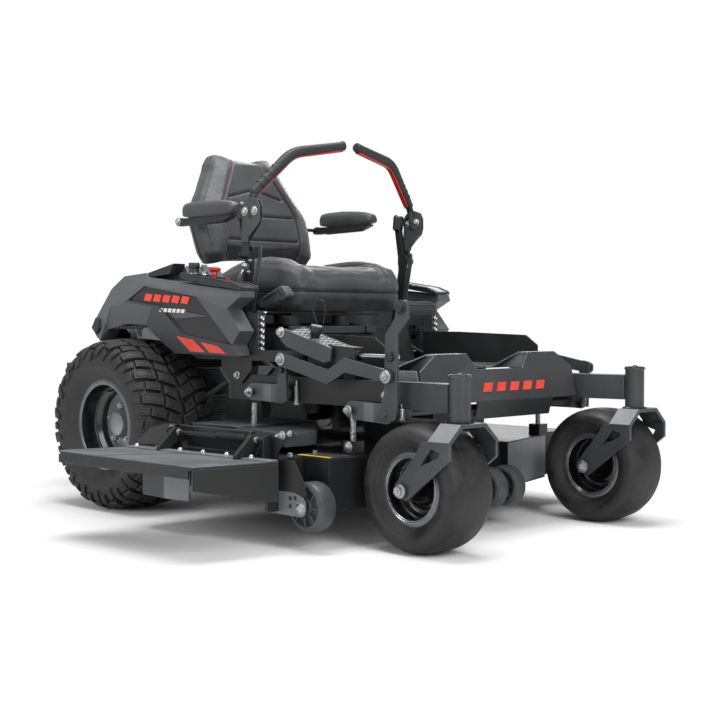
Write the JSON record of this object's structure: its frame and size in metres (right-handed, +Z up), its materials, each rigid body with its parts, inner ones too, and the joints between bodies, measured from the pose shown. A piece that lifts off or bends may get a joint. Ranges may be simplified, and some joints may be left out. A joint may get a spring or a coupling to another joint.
{
  "type": "zero turn mower",
  "caption": "Ride-on zero turn mower with swing-out lap bars, a side-discharge deck hung on cranks, free front casters and a padded seat with fold-up armrests.",
  "frame": {"origin": "middle of the overall box, on the ground between the wheels", "axes": "+X to the front of the machine, +Y to the operator's left, +Z up"},
  "size_m": [1.963, 1.555, 1.1319],
  "materials": {
    "grey_coat": "satin dark grey powder coat",
    "black_coat": "satin black powder coat",
    "deck_coat": "satin charcoal powder coat",
    "tire_rubber": "vulcanised rubber",
    "rim_coat": "gloss black enamel",
    "soft_rubber": "moulded rubber",
    "wheel_plastic": "matt nylon",
    "fender_plastic": "grained dark grey plastic",
    "black_plastic": "matt black plastic",
    "seat_vinyl": "embossed vinyl over foam",
    "red_plastic": "gloss red plastic",
    "zinc": "zinc plate",
    "cast_alloy": "cast aluminium",
    "steel": "ground steel"
  },
  "bodies": {
    "chassis": {"frame_rail_right": "grey_coat", "frame_rail_left": "grey_coat", "cross_members": "grey_coat", "engine_plate": "black_coat", "floor_pan": "black_coat", "front_guard": "grey_coat", "seat_platform": "black_coat", "fender_right": "fender_plastic", "fender_left": "fender_plastic", "consoles": "black_plastic", "transaxles": "cast_alloy", "engine_block": "cast_alloy", "engine_shroud": "black_plastic", "muffler": "steel", "height_selector": "grey_coat"},
    "rear_wheel_right": {"rear_tire_right": "tire_rubber", "rear_rim_right": "rim_coat"},
    "caster_right": {"caster_fork_right": "grey_coat"},
    "front_wheel_right": {"front_tire_right": "tire_rubber", "front_rim_right": "rim_coat"},
    "lap_base_right": {"lap_bar_base_right": "black_coat"},
    "lap_handle_right": {"lap_bar_right": "grey_coat"},
    "arm_right": {"armrest_right": "seat_vinyl"},
    "light_right": {"light_pod_right": "black_coat"},
    "scalp_right": {"antiscalp_wheel_right": "wheel_plastic"},
    "rear_wheel_left": {"rear_tire_left": "tire_rubber", "rear_rim_left": "rim_coat"},
    "caster_left": {"caster_fork_left": "grey_coat"},
    "front_wheel_left": {"front_tire_left": "tire_rubber", "front_rim_left": "rim_coat"},
    "lap_base_left": {"lap_bar_base_left": "black_coat"},
    "lap_handle_left": {"lap_bar_left": "grey_coat"},
    "arm_left": {"armrest_left": "seat_vinyl"},
    "light_left": {"light_pod_left": "black_coat"},
    "scalp_left": {"antiscalp_wheel_left": "wheel_plastic"},
    "scalp_rollers": {"antiscalp_rollers": "wheel_plastic"},
    "deck": {"deck_shell": "deck_coat", "deck_fittings": "black_coat", "belt_covers": "black_coat"},
    "front_crank": {"front_lift_crank": "grey_coat"},
    "rear_crank": {"rear_lift_crank": "grey_coat"},
    "lift_link": {"lift_links": "grey_coat"},
    "stop_link": {"stop_rod": "zinc"},
    "cutter_center": {"spindle_center": "steel", "blade_center": "steel"},
    "cutter_right": {"spindle_right": "steel", "blade_right": "steel"},
    "cutter_left": {"spindle_left": "steel", "blade_left": "steel"},
    "drive_pulley": {"engine_pulley": "steel"},
    "chute": {"discharge_chute": "soft_rubber"},
    "seat": {"seat_frame": "black_coat", "seat_cushion": "seat_vinyl", "seat_back": "seat_vinyl"},
    "throttle": {"throttle_knob": "black_plastic"},
    "key": {"ignition_key": "black_plastic"},
    "pto": {"pto_knob": "red_plastic"},
    "fuel": {"fuel_cap": "black_plastic"},
    "brake": {"brake_lever": "soft_rubber"},
    "selector_pin": {"height_pin": "black_plastic"}
  },
  "joints": [
    {"name": "rear_wheel_spin_right", "type": "hinge", "parent": "chassis", "child": "rear_wheel_right", "pos_m": [-0.3815, -0.2885, 0.2635], "axis": [0, 1, 0], "continuous": true},
    {"name": "caster_swivel_right", "type": "hinge", "parent": "chassis", "child": "caster_right", "pos_m": [0.9235, -0.2475, 0.336], "axis": [0, 0, 1], "continuous": true},
    {"name": "front_wheel_spin_right", "type": "hinge", "parent": "caster_right", "child": "front_wheel_right", "pos_m": [0.8165, -0.2475, 0.165], "axis": [0, 1, 0], "continuous": true},
    {"name": "drive_lever_right", "type": "hinge", "parent": "chassis", "child": "lap_base_right", "pos_m": [0.0365, -0.1925, 0.551], "axis": [0, 1, 0], "range_deg": [-18, 18]},
    {"name": "lever_swing_out_right", "type": "hinge", "parent": "lap_base_right", "child": "lap_handle_right", "pos_m": [0.0735, -0.2075, 0.775], "axis": [1, 0, 0], "range_deg": [0, 32]},
    {"name": "armrest_fold_right", "type": "hinge", "parent": "seat", "child": "arm_right", "pos_m": [-0.2965, -0.1575, 0.892], "axis": [0, -1, 0], "range_deg": [0, 95]},
    {"name": "light_tilt_right", "type": "hinge", "parent": "chassis", "child": "light_right", "pos_m": [0.1435, -0.2355, 0.55], "axis": [0, 1, 0], "range_deg": [-12, 12]},
    {"name": "antiscalp_spin_right", "type": "hinge", "parent": "deck", "child": "scalp_right", "pos_m": [0.6035, -0.4425, 0.115], "axis": [0, 1, 0], "continuous": true},
    {"name": "rear_wheel_spin_left", "type": "hinge", "parent": "chassis", "child": "rear_wheel_left", "pos_m": [-0.3815, 0.5635, 0.2635], "axis": [0, 1, 0], "continuous": true},
    {"name": "caster_swivel_left", "type": "hinge", "parent": "chassis", "child": "caster_left", "pos_m": [0.9235, 0.5225, 0.336], "axis": [0, 0, 1], "continuous": true},
    {"name": "front_wheel_spin_left", "type": "hinge", "parent": "caster_left", "child": "front_wheel_left", "pos_m": [0.8165, 0.5225, 0.165], "axis": [0, 1, 0], "continuous": true},
    {"name": "drive_lever_left", "type": "hinge", "parent": "chassis", "child": "lap_base_left", "pos_m": [0.0365, 0.4675, 0.551], "axis": [0, 1, 0], "range_deg": [-18, 18]},
    {"name": "lever_swing_out_left", "type": "hinge", "parent": "lap_base_left", "child": "lap_handle_left", "pos_m": [0.0735, 0.4825, 0.775], "axis": [-1, 0, 0], "range_deg": [0, 32]},
    {"name": "armrest_fold_left", "type": "hinge", "parent": "seat", "child": "arm_left", "pos_m": [-0.2965, 0.4325, 0.892], "axis": [0, -1, 0], "range_deg": [0, 95]},
    {"name": "light_tilt_left", "type": "hinge", "parent": "chassis", "child": "light_left", "pos_m": [0.1435, 0.5105, 0.55], "axis": [0, 1, 0], "range_deg": [-12, 12]},
    {"name": "antiscalp_spin_left", "type": "hinge", "parent": "deck", "child": "scalp_left", "pos_m": [0.6035, 0.7175, 0.115], "axis": [0, 1, 0], "continuous": true},
    {"name": "antiscalp_spin_rollers", "type": "hinge", "parent": "deck", "child": "scalp_rollers", "pos_m": [0.6785, 0.2045, 0.115], "axis": [0, 1, 0], "continuous": true},
    {"name": "deck_height", "type": "slide", "parent": "chassis", "child": "deck", "axis": [0, 0, 1], "range_m": [-0.045, 0.025]},
    {"name": "front_crank_turn", "type": "hinge", "parent": "chassis", "child": "front_crank", "pos_m": [0.7105, 0.1375, 0.346], "axis": [0, 1, 0], "range_deg": [-18.5, 10.5]},
    {"name": "rear_crank_turn", "type": "hinge", "parent": "chassis", "child": "rear_crank", "pos_m": [0.3155, 0.1375, 0.382], "axis": [0, 1, 0], "range_deg": [-18.5, 10.5]},
    {"name": "lift_link_turn", "type": "hinge", "parent": "front_crank", "child": "lift_link", "pos_m": [0.7245, 0.1375, 0.442], "axis": [0, 1, 0], "range_deg": [-10.5, 18.5]},
    {"name": "stop_rod_turn", "type": "hinge", "parent": "front_crank", "child": "stop_link", "pos_m": [0.7315, -0.2745, 0.492], "axis": [0, 1, 0], "range_deg": [-10.5, 18.5]},
    {"name": "blade_spin_center", "type": "hinge", "parent": "deck", "child": "cutter_center", "pos_m": [0.3885, 0.1375, 0.117], "axis": [0, 0, 1], "continuous": true},
    {"name": "blade_spin_right", "type": "hinge", "parent": "deck", "child": "cutter_right", "pos_m": [0.1885, -0.2625, 0.117], "axis": [0, 0, 1], "continuous": true},
    {"name": "blade_spin_left", "type": "hinge", "parent": "deck", "child": "cutter_left", "pos_m": [0.1885, 0.5375, 0.117], "axis": [0, 0, 1], "continuous": true},
    {"name": "engine_pulley_spin", "type": "hinge", "parent": "chassis", "child": "drive_pulley", "pos_m": [-0.6315, 0.1375, 0.3], "axis": [0, 0, 1], "continuous": true},
    {"name": "chute_lift", "type": "hinge", "parent": "deck", "child": "chute", "pos_m": [0.3085, -0.5175, 0.281], "axis": [-1, 0, 0], "range_deg": [0, 95]},
    {"name": "seat_slide", "type": "slide", "parent": "chassis", "child": "seat", "axis": [1, 0, 0], "range_m": [-0.06, 0.06]},
    {"name": "throttle_turn", "type": "hinge", "parent": "chassis", "child": "throttle", "pos_m": [-0.0765, -0.2805, 0.722], "axis": [0, 0, 1], "range_deg": [0, 140]},
    {"name": "key_turn", "type": "hinge", "parent": "chassis", "child": "key", "pos_m": [-0.0515, -0.2625, 0.722], "axis": [0, 0, 1], "range_deg": [0, 90]},
    {"name": "pto_pull", "type": "slide", "parent": "chassis", "child": "pto", "axis": [0, 0, 1], "range_m": [0, 0.012]},
    {"name": "fuel_cap_turn", "type": "hinge", "parent": "chassis", "child": "fuel", "pos_m": [-0.2615, 0.4675, 0.74], "axis": [0, 0, 1], "range_deg": [0, 120]},
    {"name": "brake_pull", "type": "hinge", "parent": "chassis", "child": "brake", "pos_m": [0.0885, -0.1665, 0.566], "axis": [0, -1, 0], "range_deg": [0, 35]},
    {"name": "height_pin_pull", "type": "slide", "parent": "chassis", "child": "selector_pin", "axis": [0.264, 0, 0.9645], "range_m": [0, 0.03]}
  ],
  "couplings": [
    {"joint": "front_crank_turn", "follows": "deck_height", "rad_per_m": 7.0922},
    {"joint": "rear_crank_turn", "follows": "deck_height", "rad_per_m": 7.0922},
    {"joint": "lift_link_turn", "follows": "deck_height", "rad_per_m": -7.0922},
    {"joint": "stop_rod_turn", "follows": "deck_height", "rad_per_m": -7.0922},
    {"joint": "blade_spin_right", "follows": "blade_spin_center", "ratio": 1},
    {"joint": "blade_spin_left", "follows": "blade_spin_center", "ratio": 1},
    {"joint": "engine_pulley_spin", "follows": "blade_spin_center", "ratio": 0.8286}
  ]
}
